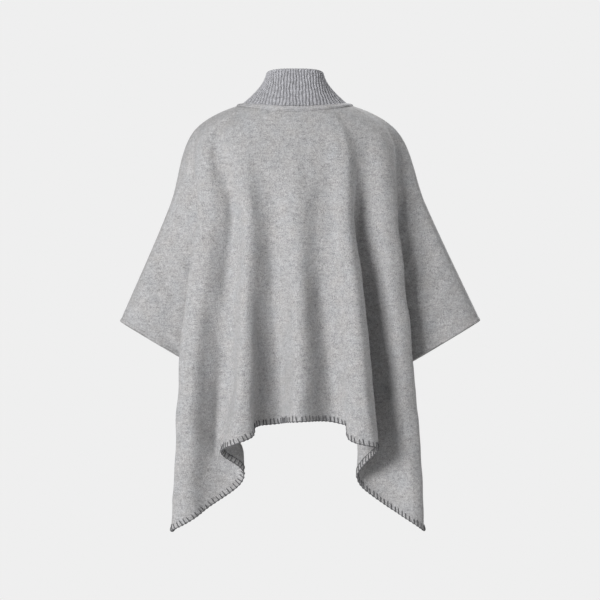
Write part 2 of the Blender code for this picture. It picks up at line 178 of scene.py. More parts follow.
# Turned hem of the cuffs, in millimetres, and the rows of the grid that it takes
CUFF_HEM = 10.0
CUFF_HEM_RISE = 0.8
CUFF_HEM_STEEPNESS = 1.1
CUFF_STITCH = 9.2
CUFF_GROOVE = 0.9
CUFF_GROOVE_WIDTH = 1.7
CUFF_HEM_ROWS = 14

# Neck band, and the rows of the cloths' grid that it lies on
BAND_WIDTH = 12.6 * MM
BAND_INSET = 0.6 * MM
BAND_CROWN = 0.3 * MM
BAND_STITCH = 1.9 * MM  # from the lower edge
BAND_GROOVE = 0.7 * MM
BAND_GROOVE_WIDTH = 0.9 * MM
BAND_EDGE_SHARE = 0.25  # of the cloth's thickness
BAND_STEPS = 18
BAND_ROWS = 14

# Topstitch
DASH_PITCH = 4.2 * MM
DASH_SHARE = 0.72
DASH_WIDTH = 0.8 * MM
DASH_HEIGHT = 0.5 * MM

# Collar, in millimetres where no unit is given
RIBS = 68
RIB_STRETCH = 0.28
RIB_RELIEF = 1.3 * MM
RIB_GROOVE = 0.9 * MM
RIB_CALM = 0.6          # share of the relief lost at the top
RIB_CALM_HEIGHT = 0.1   # share of the height that loses it
RIB_INSIDE = 0.3        # share of the relief that shows inside
COLLAR_WALL = 5 * MM
COLLAR_LIFT = 0.9 * MM
COLLAR_TOP_HALF_WIDTH = 58.5
COLLAR_TOP_HALF_DEPTH = 58
COLLAR_TOP_POWER = 3
COLLAR_LEAN = 8
COLLAR_TOP_Z = 66
COLLAR_TOP_TILT = 8
COLLAR_FLARE = 1.5
COLLAR_OVAL_STEPS = 1440
COLLAR_COLUMNS_PER_RIB = 14
COLLAR_ROWS = 36
COLLAR_INSIDE_STEP = 3  # rows of the outside to one inside
COLLAR_ROLL_STEPS = 7

# Wander of the ribs, as sines: share of a rib, turns round the collar, turns up it, phase
RIB_WANDER = ((0.12, 7, 1.3, 0), (0.08, 11, -2.9, 1), (0.05, 23, 5.2, 0))

# Blanket stitch of the hem, and the rows of the grid that it takes
STITCH_PITCH = 9.3 * MM
STITCH_MARGIN = 3.0 * MM
STITCH_LEG = 10.0 * MM
STITCH_LEAN = 0.1
FALL_LEAN = 1.2         # lean where the hem falls to the right
FALL_LENGTH = 0.4       # and how much shorter a stitch is there
FALL_LIMIT = 0.62
FALL_REACH = 12 * MM
SLANT_LIMIT = 0.8
RIM_RADIUS, RIM_SWELL = 1.1, 0.25
RIM_STEPS = 5
CHAIN_RADIUS = 0.6
YARN = 1.1 * MM
YARN_SIDES = 6
HEM_ROWS = 10

# Side of a loop: share of its length up the cloth, and its height off the cloth in yarns
LEG_SHAPE = ((1.05, -0.6), (0.97, 0.25), (0.72, 0.55), (0.46, 0.6), (0.2, 0.6))

# Unevenness of hand sewing, as sines of the stitch's number: height, pace, phase
PITCH_RIPPLE = ((0.06, 2.4, 0), (0.04, 5.1, 1))
LENGTH_RIPPLE = ((0.10, 1.7, 2), (0.06, 4.3, 0))
LEAN_RIPPLE = ((1, 3.3, 0),)

# Base colours
FELT = (0.373, 0.37, 0.3745)
# Same wool as the felt, painted lighter to offset the shade that falls on the neck band under the
# collar
FELT_PAINTED_LIGHTER = (0.415, 0.412, 0.42)
RIB_KNIT = (0.42, 0.42, 0.447)
STITCH_YARN = (0.12, 0.12, 0.125)
SEWING_THREAD = (0.24, 0.24, 0.25)
FLOOR_PAPER = (0.8, 0.8, 0.8)

# Size of the wool's unevenness, in cells a metre
FIBRE_SCALE = 460
CLUMP_SCALE = 150
CLOUD_SCALE = 26
STREAK_SCALE = 260
STREAK_STRETCH = (0.22, 0.22, 1.0)
TINT_SCALE = 34
GRAIN_SCALE = 600
NAP_SCALE = 180
LOOP_SCALE = 220

# Loops of the rib knit, on a map that counts ribs across and metres up
LOOP_LENGTH = 4.2 * MM
LOOP_SLANT = 1.6
LOOP_UNEVENNESS = 4.0
# Painted shade between the ribs: share of the knit's colour taken away at the middle of each groove
PAINTED_GROOVE_SHADE = 0.5
RIB_MAP_SCALE = (0.006, 0.8, 1.0)

# Floor and room
FLOOR_Z = -1.45
FLOOR_REACH = 3.0
ROOM_SEEN = 0.863
ROOM_LIGHT = 0.02

# Lights: degrees to the right of the back, degrees up, distance, size and power
LIGHTS = {
    "key": (-38, 16, 4.0, 1.8, 174),
    "side": (80, 44, 4.0, 1.6, 58),
    "chest": (152, 28, 4.0, 2.0, 150),
}
LIT_POINT = (0, 0, -0.4)

# Camera: place, sensor in millimetres, and the width that it sees at the garment
CAMERA_PLACE = (0.0105, -5.0, -0.405)
CAMERA_SENSOR = 36
CAMERA_VIEW = 1.26


def table(columns, lines):
    """Columns of a table of lines, as arrays by name."""
    return dict(zip(columns, np.array(list(lines.values()), dtype=float).T))


def lengths(points, axis=0, counted=1):
    """Length along lines of points from their first point, with only the counted steps.  The axis
    runs along the lines.
    """
    step = np.linalg.norm(np.diff(points, axis=axis), axis=-1) * counted
    start = np.zeros_like(step.take([0], axis=axis))
    return np.concatenate([start, np.cumsum(step, axis=axis)], axis=axis)


def unit(vectors):
    """Vectors at length 1, with those of no length left as they are."""
    length = np.linalg.norm(vectors, axis=-1, keepdims=True)
    return vectors / np.where(length > 0, length, 1)


def smooth(t):
    """Smooth step from 0 to 1: 3 t squared less 2 t cubed."""
    t = np.clip(t, 0, 1)
    return t * t * (3 - 2 * t)


def read_points(points, length, at):
    """Points of one line, read at lengths along it."""
    return np.stack([np.interp(at, length, points[:, axis]) for axis in range(3)], axis=-1)


def read_rows(rows, length, at):
    """Every row of a grid, read at lengths along the first one."""
    return np.stack([read_points(row, length, at) for row in rows])


def ripple(number, sines):
    """Sum of sines of a number: height times the sine of (pace times the number + phase)."""
    return sum(height * np.sin(pace * number + phase) for height, pace, phase in sines)


def curve_through(knots, points, at, ends, rounding=0.0):
    """Cubic curve through points at rising knots, read at other knots.

    Between two points it is the Hermite cubic of their places and slopes.  A slope is the mean of
    the chords before and after its point, weighted to the nearer one, or else given at the ends,
    and divided by its own length to the power of the rounding.
    """
    gap = np.diff(knots)[:, None]
    chord = np.diff(points, axis=0) / gap
    slope = np.empty_like(points)
    slope[1:-1] = (gap[1:] * chord[:-1] + gap[:-1] * chord[1:]) / (gap[1:] + gap[:-1])
    slope[0], slope[-1] = ends
    slope /= np.linalg.norm(slope, axis=1, keepdims=True) ** rounding
    piece = np.clip(np.searchsorted(knots, at, side="right") - 1, 0, len(gap) - 1)
    span = gap[piece]
    t = (at - knots[piece])[:, None] / span
    return (points[piece] * (1 + 2 * t) * (1 - t) ** 2 + slope[piece] * span * t * (1 - t) ** 2
            + points[piece + 1] * t * t * (3 - 2 * t) - slope[piece + 1] * span * t * t * (1 - t))


def neck_seam(angle):
    """Neck seam: an ellipse whose back and front halves differ in depth, and dip as the square of
    their distance from the shoulders.  The angle is 0 at the left shoulder and pi at the right one.
    """
    across, away = np.cos(angle), np.sin(angle)
    depth = np.where(away > 0, NECK_BACK, NECK_FRONT)
    drop = np.where(away > 0, NECK_BACK_DROP, NECK_FRONT_DROP)
    return np.stack([-NECK_HALF_WIDTH * across, -depth * away, NECK_SIDE_Z - drop * away ** 2],
                    axis=-1)


def line_levels(lines, number, start, side, heights):
    """Points that one line of a table passes: its start, and its place at every named height."""
    return np.array([start] + [(lines["x_" + level][number], side * lines["d_" + level][number], z)
                               for level, z in heights.items()])


def line_rows(levels, share):
    """Rows of one line through its levels: the neck seam, the yoke and those below."""
    chord = np.linalg.norm(np.diff(levels, axis=0), axis=1)
    knots = lengths(levels)
    leave = (levels[1] - levels[0]) / chord[0]
    middle = abs(levels[0, 1]) / max(NECK_BACK, NECK_FRONT)
    leave[2] *= SHOULDER_FLATNESS + (1 - SHOULDER_FLATNESS) * middle
    finish = (levels[-1] - levels[-2]) / chord[-1]
    fall = (levels[1, 2] - levels[1:, 2]) / (levels[1, 2] - levels[-1, 2])
    at = np.concatenate([np.linspace(0, knots[1], ROLL_ROWS + 1)[:-1],
                         np.interp(share, fall, knots[1:])])
    return curve_through(knots, levels, at, (leave, finish))


def sleeve_lines(sleeve, corner, facing, neck):
    """Rows of the sleeve lines: all but the last two end at the cuff, and those reach the hem."""
    lines = table(SLEEVE_COLUMNS, sleeve)
    rows = []
    for number, (name, start) in enumerate(zip(sleeve, neck)):
        side = -1 if name == "overarm" else facing
        z_cuff = lines["z_cuff"][number]
        z_elbow = YOKE_Z + (z_cuff - YOKE_Z) * ELBOW_SHARE
        heights = {"yoke": YOKE_Z, "elbow": z_elbow, "cuff": z_cuff}
        upper = line_rows(line_levels(lines, number, start, side, heights), SLEEVE_SHARES)
        below = upper[-1] if name != "underarm" else upper[-1] * (1, 0, 1)
        x_hem, d_hem, z_hem = corner.get(name, (0, 0, 0))
        lower = np.linspace(below, (x_hem, facing * d_hem, z_hem), TAIL_ROWS + 1)[1:]
        rows.append(np.vstack([upper, lower]))
    return rows


def fold_lines(folds, facing, neck):
    """Rows of every fold line, from the neck seam to the hem.  Just above the hem a line may turn
    sideways, by its x_turn times a smooth step.
    """
    lines = table(FOLD_COLUMNS, folds)
    share = np.concatenate([CUFF_SHARE * SLEEVE_SHARES,
                            np.linspace(CUFF_SHARE, 1, TAIL_ROWS + 1)[1:]])
    turned = smooth((share - TURN_SHARES[0]) / (TURN_SHARES[1] - TURN_SHARES[0]))
    rows = []
    for number, (start, z_hem) in enumerate(zip(neck, lines["z_hem"])):
        z_skirt = WAIST_Z + SKIRT_SHARE * (z_hem - WAIST_Z)
        heights = {"yoke": YOKE_Z, "chest": CHEST_Z, "waist": WAIST_Z, "skirt": z_skirt,
                   "hem": z_hem}
        line = line_rows(line_levels(lines, number, start, facing, heights), share)
        line[ROLL_ROWS:, 0] += lines["x_turn"][number] * turned
        rows.append(line)
    return rows


def neck_starts(folds, facing):
    """Where the lines of one cloth leave the neck seam: spaced round it as they are at the yoke."""
    left, right = table(SLEEVE_COLUMNS, LEFT_SLEEVE), table(SLEEVE_COLUMNS, RIGHT_SLEEVE)
    middle = table(FOLD_COLUMNS, folds)
    yoke = np.stack([np.concatenate([left[name], middle[name], right[name][::-1]])
                     for name in ("x_yoke", "d_yoke")], axis=1)
    length = lengths(yoke)
    return neck_seam(-facing * np.pi * length / length[-1])


def cloth_points(folds, facing):
    """Grid of one cloth's points in metres, and which of them belong to it.

    Row by row, a cubic curve crosses the points that the lines have in that row.
    """
    neck = neck_starts(folds, facing)
    left = sleeve_lines(LEFT_SLEEVE, LEFT_CORNER, facing, neck[:len(LEFT_SLEEVE)])
    right = sleeve_lines(RIGHT_SLEEVE, RIGHT_CORNER, facing, neck[:-len(RIGHT_SLEEVE) - 1:-1])
    middle = fold_lines(folds, facing, neck[len(LEFT_SLEEVE):-len(RIGHT_SLEEVE)])
    keys = np.stack(left + middle + right[::-1], axis=1)
    steps = np.concatenate([table(SLEEVE_COLUMNS, LEFT_SLEEVE)["steps"],
                            table(FOLD_COLUMNS, folds)["steps"],
                            table(SLEEVE_COLUMNS, RIGHT_SLEEVE)["steps"][-2::-1]]).astype(int)
    place = np.concatenate([[0], np.cumsum(FINE * steps)])
    ending = len(LEFT_SLEEVE) - len(LEFT_CORNER)

    points = np.zeros((len(keys), place[-1] + 1, 3))
    inside = np.zeros(points.shape[:2], dtype=bool)
    leave = np.array([0, facing, 0.0])
    for row, key in enumerate(keys):
        kept = slice(0, None) if row <= CUFF_ROW else slice(ending, -ending)
        at_key, column_of_key = key[kept], place[kept]
        knots = lengths(at_key)
        column = np.arange(column_of_key[0], column_of_key[-1] + 1)
        at = np.interp(column, column_of_key, knots)
        points[row, column] = curve_through(knots, at_key, at, (leave, -leave), FOLD_ROUNDING)
        inside[row, column] = True
    points[seam_points(inside), 1] += facing * SEAM_GAP / MM / 2
    return points * MM, inside


def seam_points(inside):
    """Which grid points lie on the overarm seams and on the side seams below the cuffs."""
    seam = np.zeros(inside.shape, dtype=bool)
    seam[:CUFF_ROW + 1, [0, -1]] = True
    seam[CUFF_ROW + 1:, np.flatnonzero(inside[-1])[[0, -1]]] = True
    return seam


def grid_faces(inside):
    """Quads between neighbouring grid points whose four corners all belong to the cloth."""
    number = np.arange(inside.size).reshape(inside.shape)
    corners = np.stack([number[:-1, :-1], number[1:, :-1], number[1:, 1:], number[:-1, 1:]],
                       axis=-1)
    return corners[inside.ravel()[corners].all(axis=-1)]


def ring_faces(points):
    """Quads of a grid that closes on itself both ways, facing out where rows rise outside."""
    number = np.arange(points[..., 0].size).reshape(points.shape[:2])
    across, beside = np.roll(number, -1, axis=0), np.roll(number, -1, axis=1)
    return np.stack([number, beside, np.roll(across, -1, axis=1), across], axis=-1).reshape(-1, 4)


def point_normals(points, faces):
    """Mean of the face normals round each point of a grid, weighted by area."""
    corner = points.reshape(-1, 3)[faces]
    across = np.cross(corner[:, 2] - corner[:, 0], corner[:, 3] - corner[:, 1])
    normals = np.zeros((points.size // 3, 3))
    for side in range(4):
        np.add.at(normals, faces[:, side], across)
    return unit(normals).reshape(points.shape)


def open_edges(faces):
    """Directed edges that only one face uses, which make the rim of a sheet."""
    start, end = faces.ravel(), np.roll(faces, -1, axis=1).ravel()
    size = faces.max() + 1
    lone = ~np.isin(start * size + end, end * size + start)
    return np.column_stack([start[lone], end[lone]])


def link_object(name, points, faces):
    """Smooth mesh object made of points and a list of faces."""
    mesh = bpy.data.meshes.new(name)
    mesh.from_pydata(points.tolist(), [], faces)
    mesh.shade_smooth()
    thing = bpy.data.objects.new(name, mesh)
    scene.collection.objects.link(thing)
    return thing


def make_object(name, points, faces, uv=None, turn=0.0):
    """Smooth mesh object made of points and quads, with a UV map called cut.

    A turn is what the map's first direction counts once round a piece that closes on itself.
    """
    used, renumbered = np.unique(faces, return_inverse=True)
    thing = link_object(name, points.reshape(-1, 3)[used], renumbered.reshape(faces.shape).tolist())
    if uv is not None:
        corner = uv.reshape(-1, 2)[faces]
        across = corner[..., 0]
        across += turn * (across.max(axis=1, keepdims=True) - across > turn / 2)
        layer = thing.data.uv_layers.new(name="cut")
        layer.data.foreach_set("uv", corner.astype(np.float32).ravel())
    return thing


def evened(points, inside):
    """The grid with its rows' bends evened out: in each round a point moves half way to the middle
    of its two neighbours in the row.
    """
    held = seam_points(inside)
    free = inside[:, 1:-1] & inside[:, :-2] & inside[:, 2:] & ~held[:, 1:-1]
    for _ in range(EVENING_ROUNDS):
        middle = (points[:, :-2] + points[:, 2:]) / 2
        points[:, 1:-1] += np.where(free[..., None], (middle - points[:, 1:-1]) / 2, 0)
    return points


def cut_place(points, inside):
    """Place of every grid point in the flat cloth: its length along the row from the middle column,
    and its length down the column from the neck seam.
    """
    across = lengths(points, 1, inside[:, 1:] & inside[:, :-1])
    across -= across[:, [points.shape[1] // 2]]
    down = lengths(points, 0, inside[1:] & inside[:-1])
    return np.stack([across, -down], axis=-1)


def waves(place):
    """Sum of the waves: height times the sine of (across / its length + down / its length)."""
    total = np.zeros(place.shape[:-1])
    for across, down, phase, height in WAVES:
        turn = place[..., 0] / (across * MM) + place[..., 1] / (down * MM)
        total += height * MM * np.sin(2 * np.pi * turn + phase)
    return total


def creases(points, lines):
    """Depth of the creases: each is a trough whose section is exp(-(distance / width) squared), and
    which fades at both ends.
    """
    total = np.zeros(points.shape[:-1])
    for x_top, z_top, x_bottom, z_bottom, width, depth in lines.values():
        start = np.array([x_top, z_top]) * MM
        run = np.array([x_bottom, z_bottom]) * MM - start
        away = points[..., [0, 2]] - start
        share = away @ run / (run @ run)
        off = np.linalg.norm(away - np.clip(share, 0, 1)[..., None] * run, axis=-1)
        fade = smooth(np.minimum(share, 1 - share) / CREASE_FADE)
        total += depth * MM * fade * np.exp(-(off / (width * MM)) ** 2)
    return total


def seam_calm(place, inside):
    """0 on the two outer edges of every row, rising to 1 further in."""
    first = np.argmax(inside, axis=1)
    last = inside.shape[1] - 1 - np.argmax(inside[:, ::-1], axis=1)
    row = np.arange(len(inside))
    left, right = place[row, first, 0][:, None], place[row, last, 0][:, None]
    return smooth(np.minimum(place[..., 0] - left, right - place[..., 0]) / SEAM_CALM)


def cuff_distance(points, inside):
    """Length along each sleeve column from a point to the cuff's edge; far away elsewhere."""
    length = lengths(points[CUFF_ROW::-1])[::-1]
    distance = np.full(inside.shape, 1.0)
    sleeve = ~inside[-1]
    distance[:CUFF_ROW + 1, sleeve] = length[:, sleeve]
    return distance


def cloth_sheet(folds, facing):
    """Finished middle surface of one cloth: points, normals, place in the cut, inside, faces."""
    points, inside = cloth_points(folds, facing)
    points = evened(points, inside)
    place = cut_place(points, inside)
    faces = grid_faces(inside)
    faces = faces if facing < 0 else faces[:, ::-1]
    normals = point_normals(points, faces)
    fade = np.clip(-place[..., 1] / NECK_CALM, 0, 1)
    lift = waves(place) * fade - creases(points, CREASE_SIDES[facing])
    points = points + normals * (lift * seam_calm(place, inside))[..., None]
    normals = point_normals(points, faces)
    seam = seam_points(inside)
    normals[seam, 1] = 0
    normals[seam] = unit(normals[seam])
    return points, normals, place, inside, faces


def build_cloth(name, folds, facing):
    """Cloth wall whose edges are half rounds: the middle surface is moved out and in by half the
    cloth, and each rim point is swept between the two on a half circle.
    """
    points, normals, place, inside, faces = cloth_sheet(folds, facing)
    distance = cuff_distance(points, inside) / MM
    hem = (1 - np.tanh((distance - CUFF_HEM) * CUFF_HEM_STEEPNESS)) / 2
    groove = np.exp(-((distance - CUFF_STITCH) / CUFF_GROOVE_WIDTH) ** 2)
    half = CLOTH / 2 + (CUFF_HEM_RISE * hem - CUFF_GROOVE * groove) * MM

    flat_points, flat_normals = points.reshape(-1, 3), normals.reshape(-1, 3)
    half = half.reshape(-1, 1)
    rim = open_edges(faces)
    side = np.cross(flat_points[rim[:, 1]] - flat_points[rim[:, 0]], flat_normals[rim[:, 0]])
    outward = np.zeros_like(flat_points)
    np.add.at(outward, rim[:, 0], side)
    np.add.at(outward, rim[:, 1], side)
    outward = unit(outward)
    on_rim = np.linalg.norm(outward, axis=1, keepdims=True) > 0

    layers = []
    for angle in np.linspace(0, np.pi, EDGE_STEPS + 1):
        pull = half * (1 - np.sin(angle)) * on_rim
        layers.append(flat_points - outward * pull + flat_normals * half * np.cos(angle))
    size = inside.size
    shell = [faces, faces[:, ::-1] + EDGE_STEPS * size]
    for step in range(EDGE_STEPS):
        shell.append(np.column_stack([rim[:, ::-1] + step * size, rim + (step + 1) * size]))
    uv = np.tile(place.reshape(-1, 2), (EDGE_STEPS + 1, 1))
    thing = make_object(name, np.concatenate(layers), np.concatenate(shell), uv)
    return thing, (points, normals, inside)


def walk(lines, normals, along):
    """Points and normals at lengths along lines.  Lines and normals have a column for each line;
    along has a row for each wanted length, and one column or as many as there are lines.
    """
    length = lengths(lines)
    along = np.broadcast_to(along, (len(along), lines.shape[1]))
    row = (length[None, 1:-1] <= along[:, None]).sum(axis=1)
    column = np.arange(lines.shape[1])
    t = (along - length[row, column]) / (length[row + 1, column] - length[row, column])
    t = t[..., None]
    return (lines[row, column] * (1 - t) + lines[row + 1, column] * t,
            unit(normals[row, column] * (1 - t) + normals[row + 1, column] * t))


def tube_faces(along, around, count):
    """Quads of a number of tubes of so many rings each, with both ends closed by quads."""
    ring = np.arange(along * around).reshape(along, around)
    right = np.roll(ring, -1, axis=1)
    side = np.stack([ring[:-1], ring[1:], right[1:], right[:-1]], axis=-1).reshape(-1, 4)
    ends = []
    for k in range(1, around - 1, 2):
        fan = [0, k, k + 1, (k + 2) % around]
        ends += [ring[0, fan], ring[-1, fan[:1] + fan[:0:-1]]]
    one = np.concatenate([side, np.array(ends)])
    return (one[None] + (np.arange(count) * along * around)[:, None, None]).reshape(-1, 4)


def tubes(path, up, radius):
    """Yarns round paths: rings of points at a radius, their quads, and their places as the share
    of a turn and the length.  Path is (count, along, 3) and up is a direction off it.
    """
    forward = unit(np.gradient(path, axis=1))
    across = unit(np.cross(forward, up))
    lift = np.cross(across, forward)
    angle = np.linspace(0, 2 * np.pi, YARN_SIDES, endpoint=False)[:, None]
    points = (path[:, :, None] + radius[..., None, None]
              * (across[:, :, None] * np.cos(angle) + lift[:, :, None] * np.sin(angle)))
    share = np.arange(YARN_SIDES) / YARN_SIDES
    place = np.stack(np.broadcast_arrays(share, lengths(path, axis=1)[..., None]), axis=-1)
    count, along = path.shape[:2]
    return points.reshape(-1, 3), tube_faces(along, YARN_SIDES, count), place.reshape(-1, 2)


def joined(parts):
    """Points, quads and places of several pieces as those of one."""
    points, faces, places = zip(*parts)
    first = np.cumsum([0] + [len(part) for part in points[:-1]])
    faces = [part + start for part, start in zip(faces, first)]
    return np.concatenate(points), np.concatenate(faces), np.concatenate(places)


class Hem:
    """Rows of one cloth from its hem's edge up, and the length along the edge."""

    def __init__(self, cloth):
        points, normals, inside = cloth
        columns = np.flatnonzero(inside[-1])
        self.rows = points[:-HEM_ROWS - 1:-1, columns]
        self.normals = normals[:-HEM_ROWS - 1:-1, columns]
        self.length = lengths(self.rows[0])

    def fall(self, at):
        """Fall of the edge to the right, as height over length, never above 0."""
        ends = at[:, None] + np.array([-FALL_REACH, FALL_REACH])
        heights = np.interp(ends, self.length, self.rows[0][:, 2])
        return np.clip((heights[:, 1] - heights[:, 0]) / (2 * FALL_REACH), -FALL_LIMIT, 0)

    def inward(self, at, distance, lean=0.0):
        """Places and normals at a distance from the edge, measured square to it on the cloth.  A
        lean moves them along the edge by so much of the distance.
        """
        before, after = (read_points(self.rows[0], self.length, at + step) for step in (-MM, MM))
        edge, above = read_rows(self.rows[:2], self.length, at)
        slant = (unit(above - edge) * unit(after - before)).sum(axis=-1)
        slant = np.clip(slant, -SLANT_LIMIT, SLANT_LIMIT)
        square = np.sqrt(1 - slant ** 2)
        moved = at + (lean - slant / square) * distance
        place, out = walk(read_rows(self.rows, self.length, moved),
                          read_rows(self.normals, self.length, moved), (distance / square)[None])
        return place[0], out[0]

    def edge(self, at):
        """Places on the edge, their normals, and the direction out of the cloth's edge."""
        place, out = self.inward(at, np.full(len(at), 0.05 * MM))
        return place, out, unit(place - self.inward(at, np.full(len(at), MM))[0])


def stitch_loops(hem, at, number):
    """Loops of yarn over the edge: up the outside, round the edge and up the inside."""
    fall = hem.fall(at)
    lean = FALL_LEAN * fall - STITCH_LEAN * (1 + ripple(number, LEAN_RIPPLE))
    leg = STITCH_LEG * (1 + ripple(number, LENGTH_RIPPLE)) * (1 + FALL_LENGTH * fall)
    outer, inner = [], []
    for share, stand in LEG_SHAPE:
        place, out = hem.inward(at, share * leg, lean)
        outer.append(place + out * (CLOTH / 2 + stand * YARN))
        inner.append(place - out * (CLOTH / 2 + stand * YARN))
    edge, out, down = hem.edge(at)
    corner, off = edge + down * 0.35 * YARN, out * (CLOTH / 2 + 0.15 * YARN)
    turn = [corner + off, edge + down * 0.75 * YARN, corner - off]
    path = np.stack(outer + turn + inner[::-1], axis=1)
    radius = YARN * np.ones(path.shape[:2])
    radius[:, [0, -1]] *= 0.7
    along = np.cross(out, down)
    return tubes(path, np.broadcast_to(along[:, None], path.shape), radius)


def build_blanket_stitch(name, cloth):
    """Blanket stitch of one cloth's hem.

    Each stitch is a loop of yarn, square to the edge on both faces and round it.  One yarn follows
    the edge and dips towards it between stitches; another joins the loops' ends on the inside.
    """
    hem = Hem(cloth)
    whole = hem.length[-1] - 2 * STITCH_MARGIN
    count = int(round(whole / STITCH_PITCH))
    number = np.arange(count)
    at = STITCH_MARGIN + (number + 0.5 + ripple(number, PITCH_RIPPLE)) * whole / count
    loops = stitch_loops(hem, at, number)

    fine = STITCH_MARGIN + np.arange(RIM_STEPS * count + 1) * whole / count / RIM_STEPS
    phase = 2 * np.pi * (np.arange(len(fine)) / RIM_STEPS - 0.5)
    scallop = np.cos(phase)
    edge, out, down = hem.edge(fine)
    run = (edge + down * (YARN * (0.6 + 0.35 * scallop))[:, None]
           + out * (0.28 * YARN * np.sin(phase))[:, None])
    rim = tubes(run[None], down[None], YARN * (RIM_RADIUS + RIM_SWELL * scallop)[None])

    top, top_out = hem.inward(fine, STITCH_LEG * (0.93 + 0.05 * scallop))
    run = top - top_out * (CLOTH / 2 + 0.7 * YARN)
    chain = tubes(run[None], top_out[None], np.full((1, len(run)), CHAIN_RADIUS * YARN))
    return make_object(name, *joined([loops, rim, chain]), 1.0)


def build_neck_band(back, front):
    """Strip over the neck edge: its section is a low crown with a stitched groove near its lower
    edge, carried round the neck on the cloths' own points.
    """
    lines, normals = (np.concatenate([behind[:BAND_ROWS], ahead[:BAND_ROWS, -2:0:-1]], axis=1)
                      for behind, ahead in zip(back[:2], front[:2]))
    share = np.linspace(0, 1, BAND_STEPS + 1)
    along = BAND_INSET + BAND_WIDTH * share
    low = CLOTH / 2 + SEAM_GAP
    round_off = (1 - np.abs(2 * share - 1) ** 6) ** 0.5
    from_stitch = along - BAND_INSET - BAND_WIDTH + BAND_STITCH
    height = (low + CLOTH * (BAND_EDGE_SHARE + (1 - BAND_EDGE_SHARE) * round_off)
              + BAND_CROWN * (1 - (2 * share - 1) ** 2)
              - BAND_GROOVE * np.exp(-(from_stitch / BAND_GROOVE_WIDTH) ** 2))
    top, top_normals = walk(lines, normals, along[:, None])
    outer = top + top_normals * height[:, None, None]
    below = [BAND_STEPS, BAND_STEPS // 2, 0]
    points = np.concatenate([outer, (top + top_normals * low)[below]])
    ring = lengths(np.concatenate([points[0], points[0, :1]]))
    v = np.concatenate([along, along[below]])
    uv = np.stack(np.broadcast_arrays(ring[None, :-1], v[:, None]), axis=-1)
    thing = make_object("neck_strip", points, ring_faces(points)[:, ::-1], uv, ring[-1])
    return thing, (lines, normals)


def build_dashes(name, starts, ends, normals):
    """Row of stitches: a small lozenge from each start to each end, lying on the cloth."""
    forward = unit(ends - starts)
    across = unit(np.cross(normals, forward)) * DASH_WIDTH / 2
    middle = (starts + ends) / 2
    top = normals * DASH_HEIGHT
    points = np.stack([starts, middle + across, ends, middle - across,
                       starts * 0.7 + ends * 0.3 + top, starts * 0.3 + ends * 0.7 + top], axis=1)
    base = np.arange(len(starts))[:, None, None] * points.shape[1]
    quads = np.array([[0, 4, 5, 1], [2, 5, 4, 3], [0, 1, 2, 3]]) + base
    triangles = np.array([[1, 5, 2], [3, 4, 0]]) + base
    faces = quads.reshape(-1, 4).tolist() + triangles.reshape(-1, 3).tolist()
    return link_object(name, points.reshape(-1, 3), faces)


def stitch_line(path, normals):
    """Starts, ends and normals of the topstitches along a path, each a share of the pitch long."""
    length = lengths(path)
    count = int(length[-1] / DASH_PITCH)
    pitch = length[-1] / count
    begin = np.arange(count) * pitch
    end = begin + DASH_SHARE * pitch
    return (read_points(path, length, begin), read_points(path, length, end),
            unit(read_points(normals, length, (begin + end) / 2)))


def neck_stitches(lines, normals):
    """Starts, ends and normals of the topstitches in the neck band's groove."""
    path, up = walk(lines, normals, np.array([[BAND_INSET + BAND_WIDTH - BAND_STITCH]]))
    path, up = path[0] + up[0] * (CLOTH * 1.5 + 0.1 * MM), up[0]
    return stitch_line(np.vstack([path, path[:1]]), np.vstack([up, up[:1]]))


def cuff_stitches(cloths):
    """Starts, ends and normals of the topstitches of both cuffs, on each cloth's half of them."""
    parts = []
    for points, normals, inside in cloths:
        sleeve = np.flatnonzero(~inside[-1])
        half = inside.shape[1] // 2
        rows = slice(CUFF_ROW, CUFF_ROW - CUFF_HEM_ROWS, -1)
        for columns in (sleeve[sleeve < half], sleeve[sleeve > half]):
            path, up = walk(points[rows][:, columns], normals[rows][:, columns],
                            np.array([[CUFF_STITCH * MM]]))
            parts.append(stitch_line(path[0] + up[0] * (CLOTH / 2 - 0.35 * MM), up[0]))
    return [np.concatenate(part) for part in zip(*parts)]


def collar_top(share):
    """Top of the collar at shares of the way round: an oval of higher power, x to the p and y to
    the p, walked at an even pace and raised towards the back.
    """
    angle = np.linspace(0, 2 * np.pi, COLLAR_OVAL_STEPS + 1)
    across, away = (np.sign(turn) * np.abs(turn) ** (2 / COLLAR_TOP_POWER)
                    for turn in (np.cos(angle), np.sin(angle)))
    oval = np.stack([-COLLAR_TOP_HALF_WIDTH * across, COLLAR_LEAN - COLLAR_TOP_HALF_DEPTH * away,
                     COLLAR_TOP_Z + COLLAR_TOP_TILT * away], axis=-1)
    length = lengths(oval[:, :2])
    return read_points(oval, length / length[-1], share)


def collar_base(share):
    """Foot of the collar on the neck seam.  In each half the angle from its middle grows with the
    share and with its fourth power, so the ribs lie closer at the middle than at the shoulders.
    """
    half = np.floor(2 * share)
    reach = 4 * share - 2 * half - 1
    turn = reach * (1 - RIB_STRETCH + RIB_STRETCH * np.abs(reach) ** 3)
    return neck_seam(np.pi * (half + 0.5 + turn / 2))


def collar_middle(share, height):
    """Middle of the collar's wall, which narrows towards the top as a power of the height."""
    base, top = collar_base(share), collar_top(share)
    flare = (1 - height) ** COLLAR_FLARE
    weight = np.stack([1 - flare, 1 - flare, height], axis=-1)
    return (base + (top - base) * weight) * MM


